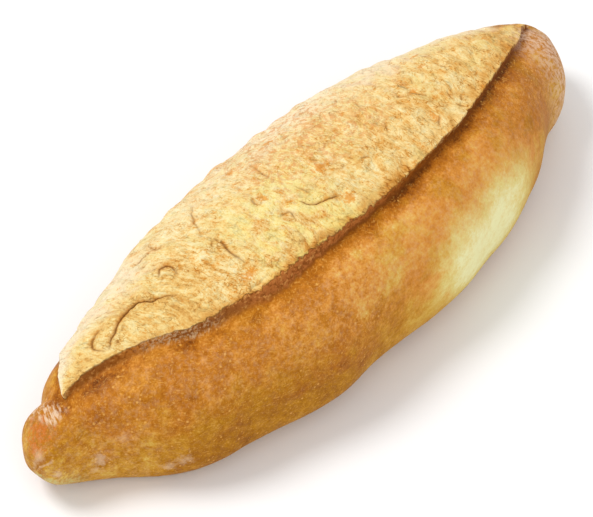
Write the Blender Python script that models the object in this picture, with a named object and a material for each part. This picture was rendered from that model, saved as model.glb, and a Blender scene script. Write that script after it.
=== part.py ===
"""A long white loaf with one slash along its crown, as one solid.

The loaf lies along X and stands on Z = 0. The near side, towards -Y, is smooth crust up to the slash.
The slash has opened into a wide bloom of rough dough, which covers the crown and rolls over to the far side.
"""

import bpy
import bmesh
import numpy as np

# Driving dimensions, in metres
LENGTH = 0.320
HEIGHT = 0.0733
NEAR_HALF_WIDTH = 0.0585
FAR_HALF_WIDTH = 0.0470
TIP_OFFSET = 0.008  # how far both tips lie towards the far side of the middle

# Heights, as shares of HEIGHT
BELT_HEIGHT = 0.40  # the widest level, at the middle of the loaf
BELT_DROP = 0.10  # how much lower the widest level is at the tips
UNDERSIDE_DEPTH = 0.43  # below the belt: more than BELT_HEIGHT, so that the base is flat

# The curves of a cross-section and of the length
CROWN_EXPONENT = 2.15
UNDERSIDE_EXPONENT = 3.6
LIFT_EXPONENT = 5.0  # how late the underside lifts off towards the tips

# How full each side is, as a share of a plain ellipse: station (-1 to 1 along X), near side, far side
FULLNESS = (
    (-1.00, 0.77, 0.93),
    (-0.95, 0.50, 0.98),
    (-0.895, 0.46, 0.80),
    (-0.84, 0.55, 0.87),
    (-0.75, 0.81, 0.895),
    (-0.62, 0.915, 0.925),
    (-0.55, 0.895, 0.965),
    (-0.48, 0.905, 1.01),
    (-0.40, 0.94, 1.04),
    (-0.29, 0.965, 1.03),
    (-0.16, 0.92, 1.045),
    (-0.02, 0.915, 1.045),
    (0.06, 0.945, 1.04),
    (0.20, 0.955, 1.055),
    (0.30, 0.935, 1.04),
    (0.43, 0.945, 0.995),
    (0.55, 0.895, 0.94),
    (0.65, 0.865, 0.89),
    (0.71, 0.80, 0.855),
    (0.78, 0.77, 0.825),
    (0.84, 0.84, 0.73),
    (0.90, 0.88, 0.71),
    (1.00, 0.61, 1.31),
)

# The slash: stations, and angles round the section in degrees from the far side, with the crown at 90
SLASH_CENTRE = 0.02
SLASH_REACH = 0.895  # half its length
NEAR_RIM_ANGLES = (  # station, angle
    (-0.875, 80),
    (-0.85, 84.5),
    (-0.8, 89.5),
    (-0.75, 94),
    (-0.7, 99),
    (-0.65, 104.5),
    (-0.6, 110),
    (-0.55, 114.5),
    (-0.5, 117),
    (-0.4, 119),
    (-0.25, 120),
    (-0.03, 121),
    (0.12, 119),
    (0.25, 117.7),
    (0.36, 117.3),
    (0.45, 115.5),
    (0.55, 113),
    (0.65, 109),
    (0.75, 104),
    (0.8, 101),
    (0.86, 91.5),
    (0.915, 81),
)
FAR_RIM_ANGLES = (  # station, angle: it turns up to the tips of the slash late and suddenly
    (-0.875, 79.0),
    (-0.841, 57.0),
    (-0.795, 40.0),
    (-0.765, 29.0),
    (-0.70, 26.5),
    (-0.50, 26.0),
    (0.00, 24.0),
    (0.50, 28.0),
    (0.70, 34.0),
    (0.78, 39.0),
    (0.83, 46.0),
    (0.88, 60.0),
    (0.915, 80.0),
)
LEAST_OPENING = 10.0  # degrees between the two rims' columns, also beyond the tips

# The edge of the bloom, in metres: the crust dips to a crease, and a torn lip climbs out of it
CREASE_DEPTH = 0.0024
FAR_CREASE_SHARE = 0.5  # the far rim's crease is shallower
CREASE_REACH = 0.0095
LIP_HEIGHT = 0.0010
LIP_WIDTH = 0.0036
LIP_SHARES = ((-0.45, 1.0), (0.0, 0.6), (0.4, 0.45))  # station, share of LIP_WIDTH
LIP_REACH = 0.016  # how far into the bloom the lip's height fades out
CLOSING_REACH = 0.035  # how far from a tip of the slash the crease has its whole depth
RIM_WANDER = 0.0009
RIM_WANDER_WAVELENGTH = 0.026
WANDER_FADE = 6  # how soon the rims' wander dies out in the crust: higher is sooner

# The rough surface of the bloom, in metres
CRAG_HEIGHT = 0.0011
CRAG_WAVELENGTH = 0.015
LUMP_HEIGHT = 0.0005
LUMP_WAVELENGTH = 0.038
NOISE_WAVES = 40

# The longest cracks in the bloom: points as (station, share across the bloom from the near rim)
CRACKS = (
    ((-0.81, 0.20), (-0.77, 0.33), (-0.70, 0.47), (-0.61, 0.50)),
    ((-0.50, 0.52), (-0.44, 0.48), (-0.36, 0.44)),
    ((-0.08, 0.42), (-0.03, 0.36), (0.06, 0.40)),
)
CRACK_DEPTH = 0.0014
CRACK_HALF_WIDTH = 0.0028

# The pinch behind the -X tip, where the dough was drawn to a knob
NECK_STATION = -0.885
NECK_SPREAD = 0.018  # stations
NECK_DEPTH = 0.0010
TIP_FADE = 0.045  # stations over which all relief fades out at a tip

# The mesh
RINGS = 96
RING_EVENNESS = 0.3  # 0 crowds the rings at the tips as on a sphere, and 1 spaces them evenly
FAR_COLUMNS = 12
BLOOM_COLUMNS = 30
NEAR_COLUMNS = 18
BLOOM_CROWDING = 1.3  # above 1, the bloom's columns crowd towards the near rim
SECTION_SAMPLES = 1081

CRUST_COLOUR = (0.60, 0.29, 0.075, 1.0)
CRUST_ROUGHNESS = 0.5
BLOOM_COLOUR = (0.82, 0.60, 0.28, 1.0)
BLOOM_ROUGHNESS = 0.8


def smooth_curve(stations, values, at):
    """A smooth curve through the values at the stations. Each slope comes from the neighbouring values."""
    slopes = np.gradient(values, stations)
    k = np.clip(np.searchsorted(stations, at, side="right") - 1, 0, len(stations) - 2)
    span = stations[k + 1] - stations[k]
    t = (at - stations[k]) / span
    start = (1 + 2 * t) * (1 - t) ** 2 * values[k] + t * (1 - t) ** 2 * span * slopes[k]
    end = t * t * (3 - 2 * t) * values[k + 1] + t * t * (t - 1) * span * slopes[k + 1]
    return start + end


def smooth_step(low, high, x):
    t = np.clip((x - low) / (high - low), 0, 1)
    return t * t * (3 - 2 * t)


def signed_power(x, exponent):
    return np.sign(x) * np.abs(x) ** exponent


def envelope(station, angle):
    """The loaf's form without relief, at stations along X and angles (radians) round the section."""
    stations, near_shares, far_shares = np.array(FULLNESS).T
    swell = np.sqrt(np.maximum(1 - station**2, 0))
    near = NEAR_HALF_WIDTH * swell * smooth_curve(stations, near_shares, station)
    far = FAR_HALF_WIDTH * swell * smooth_curve(stations, far_shares, station)
    belt = HEIGHT * (BELT_HEIGHT - BELT_DROP * station**2)
    above = HEIGHT * (1 - BELT_HEIGHT) * swell
    below = HEIGHT * UNDERSIDE_DEPTH * np.sqrt(np.maximum(1 - np.abs(station) ** LIFT_EXPONENT, 0))

    across, up = np.cos(angle), np.sin(angle)
    power = 2 / np.where(up >= 0, CROWN_EXPONENT, UNDERSIDE_EXPONENT)
    across, up = signed_power(across, power), signed_power(up, power)
    x = station * LENGTH / 2 + 0 * angle
    y = np.where(across >= 0, far, near) * across + TIP_OFFSET * station**2
    z = belt + np.where(up >= 0, above, below) * up
    return np.stack([x, y, np.maximum(z, 0)], axis=-1)


def outward(station, angle):
    """The unit normals of the envelope."""
    step = 1e-3
    along = envelope(np.minimum(station + step, 1), angle) - envelope(np.maximum(station - step, -1), angle)
    around = envelope(station, angle + step) - envelope(station, angle - step)
    normal = np.cross(around, along)
    return normal / np.maximum(np.linalg.norm(normal, axis=-1, keepdims=True), 1e-12)


def rim_angles(station):
    """The angles of the near rim and the far rim of the slash, in radians."""
    stations, angles = np.array(NEAR_RIM_ANGLES).T
    near = smooth_curve(stations, angles, np.clip(station, stations[0], stations[-1]))
    far = np.interp(station, *np.array(FAR_RIM_ANGLES).T)
    middle = (near + far) / 2
    half_opening = np.maximum(near - far, LEAST_OPENING) / 2
    near, far = middle + half_opening, middle - half_opening
    return np.radians(near), np.radians(far)


def noise(points, wavelength, seed):
    """Smooth random relief about zero, made of plane waves near one wavelength. It rarely passes 1 or -1."""
    draw = np.random.default_rng(seed)
    directions = draw.normal(size=(NOISE_WAVES, 3))
    directions /= np.linalg.norm(directions, axis=1, keepdims=True)
    numbers = 2 * np.pi / (wavelength * draw.uniform(0.75, 1.35, NOISE_WAVES))
    phases = draw.uniform(0, 2 * np.pi, NOISE_WAVES)
    total = np.zeros(points.shape[:-1])
    for direction, number, phase in zip(directions, numbers, phases):
        total += np.cos(points @ (direction * number) + phase)
    return total / np.sqrt(2 * NOISE_WAVES)


def distance_to_route(points, route):
    """The distance from each point to a route of straight runs."""
    nearest = np.full(points.shape[:-1], np.inf)
    for start, end in zip(route[:-1], route[1:]):
        run = end - start
        t = np.clip((points - start) @ run / (run @ run), 0, 1)
        nearest = np.minimum(nearest, np.linalg.norm(points - start - t[..., None] * run, axis=-1))
    return nearest


def crack_routes():
    """Each crack's points on the envelope."""
    for crack in CRACKS:
        station, share = np.array(crack).T
        near, far = rim_angles(station)
        yield envelope(station, near + (far - near) * share)


def section_columns(station):
    """One ring's columns: angles, distances into the bloom (below zero on the crust), crease depths, lip widths.

    The columns run from the middle of the base up the far side, over the bloom and down the near side. One
    column follows each rim and one follows the top of each lip, so that the torn edges stay crisp.
    """
    angles = np.linspace(-np.pi / 2, 1.5 * np.pi, SECTION_SAMPLES)
    points = envelope(station, angles)
    arc = np.concatenate([[0], np.cumsum(np.linalg.norm(np.diff(points, axis=0), axis=1))])
    near_angle, far_angle = rim_angles(station)
    near, far = np.interp([near_angle, far_angle], angles, arc)
    lip = min(LIP_WIDTH * np.interp(station, *np.array(LIP_SHARES).T), (near - far) / 4)
    ends = envelope(station, np.array([near_angle, far_angle]))
    near_wander, far_wander = noise(ends, RIM_WANDER_WAVELENGTH, seed=3) * RIM_WANDER * lip / LIP_WIDTH

    t = np.linspace(0, 1, FAR_COLUMNS + 1)
    up_far = far * t + far_wander * t**WANDER_FADE
    t = np.linspace(0, 1, NEAR_COLUMNS, endpoint=False)
    down_near = near + (arc[-1] - near) * t + near_wander * (1 - t) ** WANDER_FADE
    near, far = near + near_wander, far + far_wander
    over = near - lip - (near - far - 2 * lip) * np.linspace(1, 0, BLOOM_COLUMNS) ** BLOOM_CROWDING
    columns = np.concatenate([up_far, over, down_near])
    to_tip = (SLASH_REACH - abs(station - SLASH_CENTRE)) * LENGTH / 2
    inward = np.minimum(np.minimum(near - columns, columns - far), to_tip)
    share = FAR_CREASE_SHARE + (1 - FAR_CREASE_SHARE) * smooth_step(far, near, columns)
    crease = CREASE_DEPTH * share * smooth_step(-CLOSING_REACH, CLOSING_REACH, to_tip)
    return np.interp(columns, arc, angles), inward, crease, np.full(len(columns), lip)


def relief(points, inward, crease, lip):
    """How far the surface stands out of the envelope."""
    crust = -crease * np.exp(-((inward / CREASE_REACH) ** 2))
    bloom = LIP_HEIGHT * np.exp(-np.maximum(inward - lip, 0) / LIP_REACH)
    bloom = bloom + CRAG_HEIGHT * (np.abs(noise(points, CRAG_WAVELENGTH, seed=11)) - 0.6)
    bloom = bloom + LUMP_HEIGHT * noise(points, LUMP_WAVELENGTH, seed=5)
    for route in crack_routes():
        bloom = bloom - CRACK_DEPTH * np.exp(-((distance_to_route(points, route) / CRACK_HALF_WIDTH) ** 2))
    in_bloom = smooth_step(0, lip, inward)
    return crust * (1 - in_bloom) + bloom * in_bloom


def ring_stations():
    t = np.arange(1, RINGS + 1) / (RINGS + 1)
    return -(1 - RING_EVENNESS) * np.cos(np.pi * t) + RING_EVENNESS * (2 * t - 1)


def loaf_points():
    """The points of each ring, and the two tips."""
    station = ring_stations()
    angle, inward, crease, lip = np.array([section_columns(s) for s in station]).swapaxes(0, 1)
    station = station[:, None]
    points = envelope(station, angle)
    fade = smooth_step(0, TIP_FADE, 1 - np.abs(station)) * smooth_step(-0.9, -0.2, np.sin(angle))
    height = fade * relief(points, inward, crease, lip)
    neck = NECK_DEPTH * np.exp(-(((station - NECK_STATION) / NECK_SPREAD) ** 2))
    height = height - neck * smooth_step(-0.5, 0.5, np.sin(angle))
    points = points + outward(station, angle) * height[..., None]
    points[..., 2] = np.maximum(points[..., 2], 0)
    tips = envelope(np.array([-1.0, 1.0]), np.array([0.0, 0.0]))
    everything = np.concatenate([points.reshape(-1, 3), tips])
    middle = (everything.min(axis=0) + everything.max(axis=0)) / 2 * (1, 1, 0)
    return points - middle, tips - middle


def loaf_mesh():
    points, tips = loaf_points()
    cut = np.abs(ring_stations() - SLASH_CENTRE) < SLASH_REACH
    shape = bmesh.new()
    rings = [[shape.verts.new(point) for point in ring] for ring in points]
    for i, (low, high) in enumerate(zip(rings[:-1], rings[1:])):
        for k in range(len(low)):
            after = (k + 1) % len(low)
            face = shape.faces.new((low[k], high[k], high[after], low[after]))
            on_bloom = FAR_COLUMNS < k < FAR_COLUMNS + BLOOM_COLUMNS
            face.material_index = int(on_bloom and cut[i] and cut[i + 1])
    for tip, ring in zip(tips, (rings[0], rings[-1])):
        end = shape.verts.new(tip)
        for k in range(len(ring)):
            shape.faces.new((end, ring[k], ring[(k + 1) % len(ring)]))
    bmesh.ops.recalc_face_normals(shape, faces=shape.faces)
    bmesh.ops.triangulate(shape, faces=shape.faces)
    mesh = bpy.data.meshes.new("loaf")
    shape.to_mesh(mesh)
    shape.free()
    mesh.shade_smooth()
    return mesh


def bread_material(name, colour, roughness):
    material = bpy.data.materials.new(name)
    material.use_nodes = True
    shader = material.node_tree.nodes["Principled BSDF"]
    shader.inputs["Base Color"].default_value = colour
    shader.inputs["Roughness"].default_value = roughness
    return material


def main():
    for item in list(bpy.data.objects):
        bpy.data.objects.remove(item)
    loaf = bpy.data.objects.new("loaf", loaf_mesh())
    loaf.data.materials.append(bread_material("crust", CRUST_COLOUR, CRUST_ROUGHNESS))
    loaf.data.materials.append(bread_material("bloom", BLOOM_COLOUR, BLOOM_ROUGHNESS))
    bpy.context.scene.collection.objects.link(loaf)


main()
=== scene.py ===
"""The looks of the long white loaf: its crust, the torn slash, the flaky bloom in the slash, and the studio.

The loaf is modelled again here on a fine grid. Its form follows the CAD solid's formulas, sized from the CAD
box. The torn edges, flakes and cracks that the solid is too coarse for are added as relief.
"""

import math
from types import SimpleNamespace

import bpy
import numpy as np
from mathutils import Matrix, Vector, noise as blender_noise


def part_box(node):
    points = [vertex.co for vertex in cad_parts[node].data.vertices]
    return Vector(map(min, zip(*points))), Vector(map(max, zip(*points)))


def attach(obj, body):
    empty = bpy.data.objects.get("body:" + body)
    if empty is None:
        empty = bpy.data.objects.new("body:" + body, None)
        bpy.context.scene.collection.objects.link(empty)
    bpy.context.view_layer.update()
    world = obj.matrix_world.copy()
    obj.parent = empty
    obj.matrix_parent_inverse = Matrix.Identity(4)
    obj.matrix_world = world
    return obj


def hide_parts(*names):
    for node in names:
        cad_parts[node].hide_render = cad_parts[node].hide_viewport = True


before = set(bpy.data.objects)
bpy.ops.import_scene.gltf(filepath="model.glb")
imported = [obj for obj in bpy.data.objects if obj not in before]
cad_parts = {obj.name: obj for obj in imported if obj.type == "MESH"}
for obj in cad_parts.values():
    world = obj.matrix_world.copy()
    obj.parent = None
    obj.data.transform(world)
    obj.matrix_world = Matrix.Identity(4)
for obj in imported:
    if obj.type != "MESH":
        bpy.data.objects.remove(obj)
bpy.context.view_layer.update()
LOW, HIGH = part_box("loaf")

MM = 0.001

# The form, sized from the CAD box
LENGTH = HIGH.x - LOW.x
WIDTH = HIGH.y - LOW.y
HEIGHT = 0.9949 * (HIGH.z - LOW.z)  # without the relief on the crown
NEAR_HALF_WIDTH = 0.5598 * WIDTH
FAR_HALF_WIDTH = 0.4498 * WIDTH
TIP_OFFSET = 0.025 * LENGTH  # how far both tips lie towards the far side of the middle

# Heights, as shares of HEIGHT
BELT_HEIGHT = 0.40  # the widest level, at the middle of the loaf
BELT_DROP = 0.10  # how much lower the widest level is at the tips
UNDERSIDE_DEPTH = 0.43  # below the belt: more than BELT_HEIGHT, so that the base is flat

# The curves of a cross-section and of the length
CROWN_EXPONENT = 2.15
UNDERSIDE_EXPONENT = 3.6
LIFT_EXPONENT = 5.0  # how late the underside lifts off towards the tips

# How full each side is, as a share of a plain ellipse: station (-1 to 1 along X), near side, far side
FULLNESS = (
    (-1, 0.77, 0.93),
    (-0.95, 0.5, 0.98),
    (-0.895, 0.46, 0.8),
    (-0.84, 0.55, 0.87),
    (-0.75, 0.81, 0.895),
    (-0.62, 0.915, 0.925),
    (-0.55, 0.895, 0.965),
    (-0.48, 0.905, 1.01),
    (-0.4, 0.94, 1.04),
    (-0.29, 0.965, 1.03),
    (-0.16, 0.92, 1.045),
    (-0.02, 0.915, 1.045),
    (0.06, 0.945, 1.04),
    (0.2, 0.955, 1.055),
    (0.3, 0.935, 1.04),
    (0.43, 0.945, 0.995),
    (0.55, 0.895, 0.94),
    (0.65, 0.865, 0.89),
    (0.71, 0.8, 0.855),
    (0.78, 0.77, 0.825),
    (0.84, 0.84, 0.73),
    (0.9, 0.88, 0.71),
    (1, 0.61, 1.31),
)

# The slash: stations, and angles round the section in degrees from the far side, with the crown at 90
SLASH_CENTRE = 0.02
SLASH_REACH = 0.895  # half its length
NEAR_RIM_ANGLES = (  # station, angle
    (-0.875, 80),
    (-0.85, 84.5),
    (-0.8, 89.5),
    (-0.75, 94),
    (-0.7, 99),
    (-0.65, 104.5),
    (-0.6, 110),
    (-0.55, 114.5),
    (-0.5, 117),
    (-0.4, 119),
    (-0.25, 120),
    (-0.03, 121),
    (0.12, 119),
    (0.25, 117.3),
    (0.36, 115.8),
    (0.45, 113.4),
    (0.55, 111.3),
    (0.65, 107.8),
    (0.75, 104),
    (0.8, 101),
    (0.86, 91.5),
    (0.915, 81),
)
FAR_RIM_ANGLES = (  # station, angle
    (-0.875, 79),
    (-0.841, 57),
    (-0.795, 40),
    (-0.765, 29),
    (-0.7, 26.5),
    (-0.5, 26),
    (0, 24),
    (0.5, 28),
    (0.7, 34),
    (0.78, 39),
    (0.83, 46),
    (0.88, 60),
    (0.915, 80),
)
LEAST_OPENING = 4.0  # degrees between the two rims' columns, also beyond the tips

# The edge of the bloom: the crust dips to a crease, and a torn lip climbs out of it
CREASE_DEPTH = 2.4 * MM
FAR_CREASE_SHARE = 0.5  # the far rim's crease is shallower
CREASE_REACH = 9.5 * MM
LIP_HEIGHT = 1.0 * MM
LIP_WIDTH = 3.6 * MM
LIP_SHARES = (  # station, share of LIP_WIDTH
    (-0.80, 0.50),
    (-0.62, 0.75),
    (-0.53, 1.0),
    (-0.47, 1.05),
    (-0.37, 1.3),
    (-0.27, 1.3),
    (-0.16, 0.8),
    (0.0, 0.55),
    (0.30, 0.25),
)
LIP_PARTS = 6  # a lip takes at most one of this many parts of the bloom's width
LIP_REACH = 16 * MM  # how far into the bloom the lip's height fades out
CLOSING_REACH = 35 * MM  # how far from a tip of the slash the crease has its whole depth
RIM_WANDERS = (  # amplitude, wavelength, seed of its noise
    (0.9 * MM, 26 * MM, 3),
    (0.50 * MM, 7 * MM, 31),
    (0.32 * MM, 2.8 * MM, 32),
)

# Relief: amplitude, wavelength, seed of its noise
CRAGS = (0.8 * MM, 15 * MM, 11)
CRAG_MEAN = 0.6  # the mean of the folded noise that makes the crags
LUMPS = (0.5 * MM, 38 * MM, 5)
CRUST_WAVES = (0.35 * MM, 30 * MM, 6)
NOISE_WAVES = 40
WAVELENGTH_SPREAD = (0.75, 1.35)
BLOOM_MARGIN = 2 * MM  # how far past its rims the bloom's relief goes
RELIEF_RISE = (-0.9, -0.2)  # sines of the angles between which relief sets in above the base

# Flakes in the bloom: size, height of their raised edge, seed
FLAKES = (
    (19 * MM, 0.65 * MM, 1),
    (8 * MM, 0.40 * MM, 2),
    (3.6 * MM, 0.20 * MM, 4),
)
FLAKE_WARPS = ((0.42, 1.1), (0.16, 3.3))  # how far noise moves the flakes' borders, and how fine it is
FLAKE_WARP_SEED = 7  # of that noise, which Blender otherwise seeds from the clock
FLAKY_PATCHES = (30 * MM, 21)  # wavelength and seed of the noise that picks where the flakes stand out
FLAKY_LEVELS = (-0.2, 0.9)  # of that noise
FLAKES_ELSEWHERE = 0.25  # their height outside those patches, as a share
FLAKES_AT_RIM = 0.35  # their height at the rim, as a share
SETTLE_REACH = 6 * MM  # how far in from the rim they have their whole height

# The cracks in the bloom that stand out: depth in mm, lift of one side in mm, then points as (station, share
# across the bloom from the near rim). A positive lift raises the side to the left of the way the points run.
CRACKS = (
    (1.1, 0.35, ((-0.53, 0.30), (-0.56, 0.36), (-0.61, 0.44), (-0.65, 0.40), (-0.70, 0.29), (-0.735, 0.14))),
    (0.8, -0.3, ((-0.70, 0.48), (-0.735, 0.42), (-0.75, 0.31), (-0.74, 0.15))),
    (0.9, 0.4, ((-0.52, 0.49), (-0.50, 0.53), (-0.48, 0.48), (-0.49, 0.40))),
    (0.7, 0.0, ((-0.51, 0.75), (-0.49, 0.74), (-0.465, 0.70))),
    (0.6, 0.2, ((-0.285, 0.73), (-0.33, 0.65), (-0.365, 0.51))),
    (0.8, 0.35, ((-0.365, 0.48), (-0.355, 0.40), (-0.365, 0.31), (-0.362, 0.21))),
    (1.1, 0.95, ((-0.055, 0.16), (-0.10, 0.19), (-0.13, 0.22), (-0.14, 0.27))),
    (0.6, 0.0, ((0.435, 0.20), (0.42, 0.13))),
    (0.6, 0.0, ((0.415, 0.10), (0.43, 0.04))),
    (0.6, 0.2, ((0.35, 0.37), (0.38, 0.27))),
    (0.6, 0.0, ((0.345, 0.12), (0.31, 0.07))),
    (0.6, 0.0, ((0.07, 0.24), (0.095, 0.22))),
    (0.6, 0.2, ((-0.44, 0.78), (-0.45, 0.68), (-0.43, 0.66))),
    (0.6, 0.2, ((-0.21, 0.28), (-0.18, 0.26), (-0.19, 0.20))),
    (0.5, 0.0, ((-0.36, 0.45), (-0.385, 0.39))),
    (0.5, 0.3, ((-0.11, 0.66), (-0.13, 0.46))),
    (0.5, 0.3, ((-0.11, 0.35), (-0.10, 0.26))),
    (0.5, 0.0, ((0.22, 0.31), (0.19, 0.24))),
    (0.5, 0.0, ((0.23, 0.53), (0.22, 0.47))),
)
CRACK_HALF_WIDTH = 0.75 * MM
SHALLOW_CRACK_SHARE = 0.55  # of that, for the shallowest crack
CRACK_END_SHARE = 0.2  # of that, at a crack's ends
CRACK_LIFT_REACH = 7 * MM
CRACK_STEPS = 5  # between two points of a crack
CRACK_SIGHT = (1.6 * MM, 2.6 * MM)  # it stops showing between these distances
# a crack's colour darkens with its depth: partly browned crust, partly painted shade in the crack
DEEPEST_CRACK = 1.1
CRACK_CONTRAST = 1.4

# Short cracks scattered over the bloom, mostly across it, as the dough stretched
SMALL_CRACKS = 60
SMALL_CRACK_SEED = 8
SMALL_CRACK_STATIONS = (-0.8, 0.8)
SMALL_CRACK_SHARES = (0.04, 0.9)  # across the bloom from the near rim
SMALL_CRACK_TURN = (105, 35)  # mean and spread, in degrees from X
SMALL_CRACK_LENGTHS = (2, 6)  # mm
SMALL_CRACK_BEND = 0.5  # radians, at most
SMALL_CRACK_DEPTHS = (0.25, 0.6)  # mm
SMALL_CRACK_LIFTS = (-0.15, 0.25)  # mm
BLOOM_WIDTH = 90 * MM  # about: it turns their lengths across the bloom into shares

# The pinch behind the -X tip, where the dough was drawn to a knob
NECK_STATION = -0.885
NECK_SPREAD = 0.018  # stations
NECK_DEPTH = 1.0 * MM
NECK_RISE = (-0.5, 0.5)  # sines of the angles between which it sets in
TIP_FADE = 0.045  # stations over which all relief fades out at a tip

# The grid: 2 triangles for each ring and column, under 200,000 in all
RINGS = 440
RING_EVENNESS = 0.8  # 0 crowds the rings at the tips as on a sphere, and 1 spaces them evenly
FAR_COLUMNS = 34
FAR_LIP_COLUMNS = 4
BLOOM_COLUMNS = 121
NEAR_LIP_COLUMNS = 7
NEAR_COLUMNS = 58
BLOOM_CROWDING = 1.3  # above 1, the bloom's columns crowd towards the near rim
CRUST_CROWDING = 1.5  # above 1, the crust's columns crowd towards the rims
SECTION_SAMPLES = 1081

# The camera: angles in degrees, lens in mm
CAMERA_AZIMUTH = -48.2
CAMERA_ELEVATION = 48.0
CAMERA_LENS = 150
CAMERA_DISTANCE = 3.1666 * LENGTH
CAMERA_TARGET = Vector((-0.0534 * LENGTH, 0.0230 * WIDTH, 0.4072 * (HIGH.z - LOW.z)))

# The studio
FLOOR_REACH = 12 * LENGTH
FLOOR_GAP = 0.1 * MM  # under the loaf
WORLD_STRENGTH = 0.74
LAMPS = (  # name, direction as shares of the camera's right, up and back, distance, size, power
    ("key", (-0.50, 0.62, 0.60), 1.6, 0.6, 13),
    ("fill", (0.3, -0.1, 0.9), 1.8, 1.2, 4.5),
)


# ---------------------------------------------------------------- form


def smooth_curve(stations, values, at):
    """A smooth curve through the values, read at other stations."""
    slopes = np.gradient(values, stations)
    k = np.clip(np.searchsorted(stations, at, side="right") - 1, 0, len(stations) - 2)
    span = stations[k + 1] - stations[k]
    t = (at - stations[k]) / span
    start = (1 + 2 * t) * (1 - t) ** 2 * values[k] + t * (1 - t) ** 2 * span * slopes[k]
    end = t * t * (3 - 2 * t) * values[k + 1] + t * t * (t - 1) * span * slopes[k + 1]
    return start + end


def smooth_step(low, high, x):
    t = np.clip((x - low) / (high - low), 0, 1)
    return t * t * (3 - 2 * t)


def signed_power(x, exponent):
    return np.sign(x) * np.abs(x) ** exponent


def envelope(station, angle):
    """The loaf's form without relief, at stations along X and angles (radians) round the section."""
    stations, near_shares, far_shares = np.array(FULLNESS).T
    swell = np.sqrt(np.maximum(1 - station**2, 0))
    near = NEAR_HALF_WIDTH * swell * smooth_curve(stations, near_shares, station)
    far = FAR_HALF_WIDTH * swell * smooth_curve(stations, far_shares, station)
    belt = HEIGHT * (BELT_HEIGHT - BELT_DROP * station**2)
    above = HEIGHT * (1 - BELT_HEIGHT) * swell
    below = HEIGHT * UNDERSIDE_DEPTH * np.sqrt(np.maximum(1 - np.abs(station) ** LIFT_EXPONENT, 0))

    across, up = np.cos(angle), np.sin(angle)
    power = 2 / np.where(up >= 0, CROWN_EXPONENT, UNDERSIDE_EXPONENT)
    across, up = signed_power(across, power), signed_power(up, power)
    x = station * LENGTH / 2 + 0 * angle
    y = np.where(across >= 0, far, near) * across + TIP_OFFSET * station**2
    z = belt + np.where(up >= 0, above, below) * up
    return np.stack([x, y, np.maximum(z, 0)], axis=-1)


def outward(station, angle):
    """The unit normals of the envelope."""
    step = 1e-3
    along = envelope(np.minimum(station + step, 1), angle) - envelope(np.maximum(station - step, -1), angle)
    around = envelope(station, angle + step) - envelope(station, angle - step)
    normal = np.cross(around, along)
    return normal / np.maximum(np.linalg.norm(normal, axis=-1, keepdims=True), 1e-12)


def rim_angles(station):
    """The angles of the near rim and the far rim of the slash, in radians."""
    stations, angles = np.array(NEAR_RIM_ANGLES).T
    near = smooth_curve(stations, angles, np.clip(station, stations[0], stations[-1]))
    far = np.interp(station, *np.array(FAR_RIM_ANGLES).T)
    middle = (near + far) / 2
    half_opening = np.maximum(near - far, LEAST_OPENING) / 2
    near, far = middle + half_opening, middle - half_opening
    return np.radians(near), np.radians(far)


def waves(points, wavelength, seed):
    """Smooth random relief about zero, made of plane waves near one wavelength. It rarely passes 1 or -1."""
    draw = np.random.default_rng(seed)
    directions = draw.normal(size=(NOISE_WAVES, 3))
    directions /= np.linalg.norm(directions, axis=1, keepdims=True)
    numbers = 2 * np.pi / (wavelength * draw.uniform(*WAVELENGTH_SPREAD, NOISE_WAVES))
    phases = draw.uniform(0, 2 * np.pi, NOISE_WAVES)
    total = np.zeros(points.shape[:-1])
    for direction, number, phase in zip(directions, numbers, phases):
        total += np.cos(points @ (direction * number) + phase)
    return total / np.sqrt(2 * NOISE_WAVES)


def section_columns(station):
    """One ring's columns: their angles, their distances from each rim into the bloom, and for each column the
    same two numbers, the arc between the rims and the width of the lip."""
    angles = np.linspace(-np.pi / 2, 1.5 * np.pi, SECTION_SAMPLES)
    points = envelope(station, angles)
    arc = np.concatenate([[0], np.cumsum(np.linalg.norm(np.diff(points, axis=0), axis=1))])
    near_angle, far_angle = rim_angles(station)
    near, far = np.interp([near_angle, far_angle], angles, arc)
    lip = min(LIP_WIDTH * np.interp(station, *np.array(LIP_SHARES).T), (near - far) / LIP_PARTS)
    rims = envelope(station, np.array([near_angle, far_angle]))
    wander = sum(size * waves(rims, length, seed) for size, length, seed in RIM_WANDERS) * lip / LIP_WIDTH
    near, far = near + wander[0], far + wander[1]

    t = 1 - np.linspace(1, 0, FAR_COLUMNS, endpoint=False) ** CRUST_CROWDING
    up_far = far * t
    far_lip = far + lip * np.linspace(0, 1, FAR_LIP_COLUMNS, endpoint=False)
    over = near - lip - (near - far - 2 * lip) * np.linspace(1, 0, BLOOM_COLUMNS) ** BLOOM_CROWDING
    near_lip = near - lip * np.linspace(1, 0, NEAR_LIP_COLUMNS)[1:]
    t = np.linspace(0, 1, NEAR_COLUMNS, endpoint=False)[1:] ** CRUST_CROWDING
    down_near = near + (arc[-1] - near) * t
    columns = np.concatenate([up_far, far_lip, over, near_lip, down_near])
    whole = np.ones(len(columns))
    return np.interp(columns, arc, angles), near - columns, columns - far, whole * (near - far), whole * lip


def ring_stations():
    """The stations of the rings, between the tips and without them."""
    t = np.arange(1, RINGS + 1) / (RINGS + 1)
    return -(1 - RING_EVENNESS) * np.cos(np.pi * t) + RING_EVENNESS * (2 * t - 1)


# ---------------------------------------------------------------- relief


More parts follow.
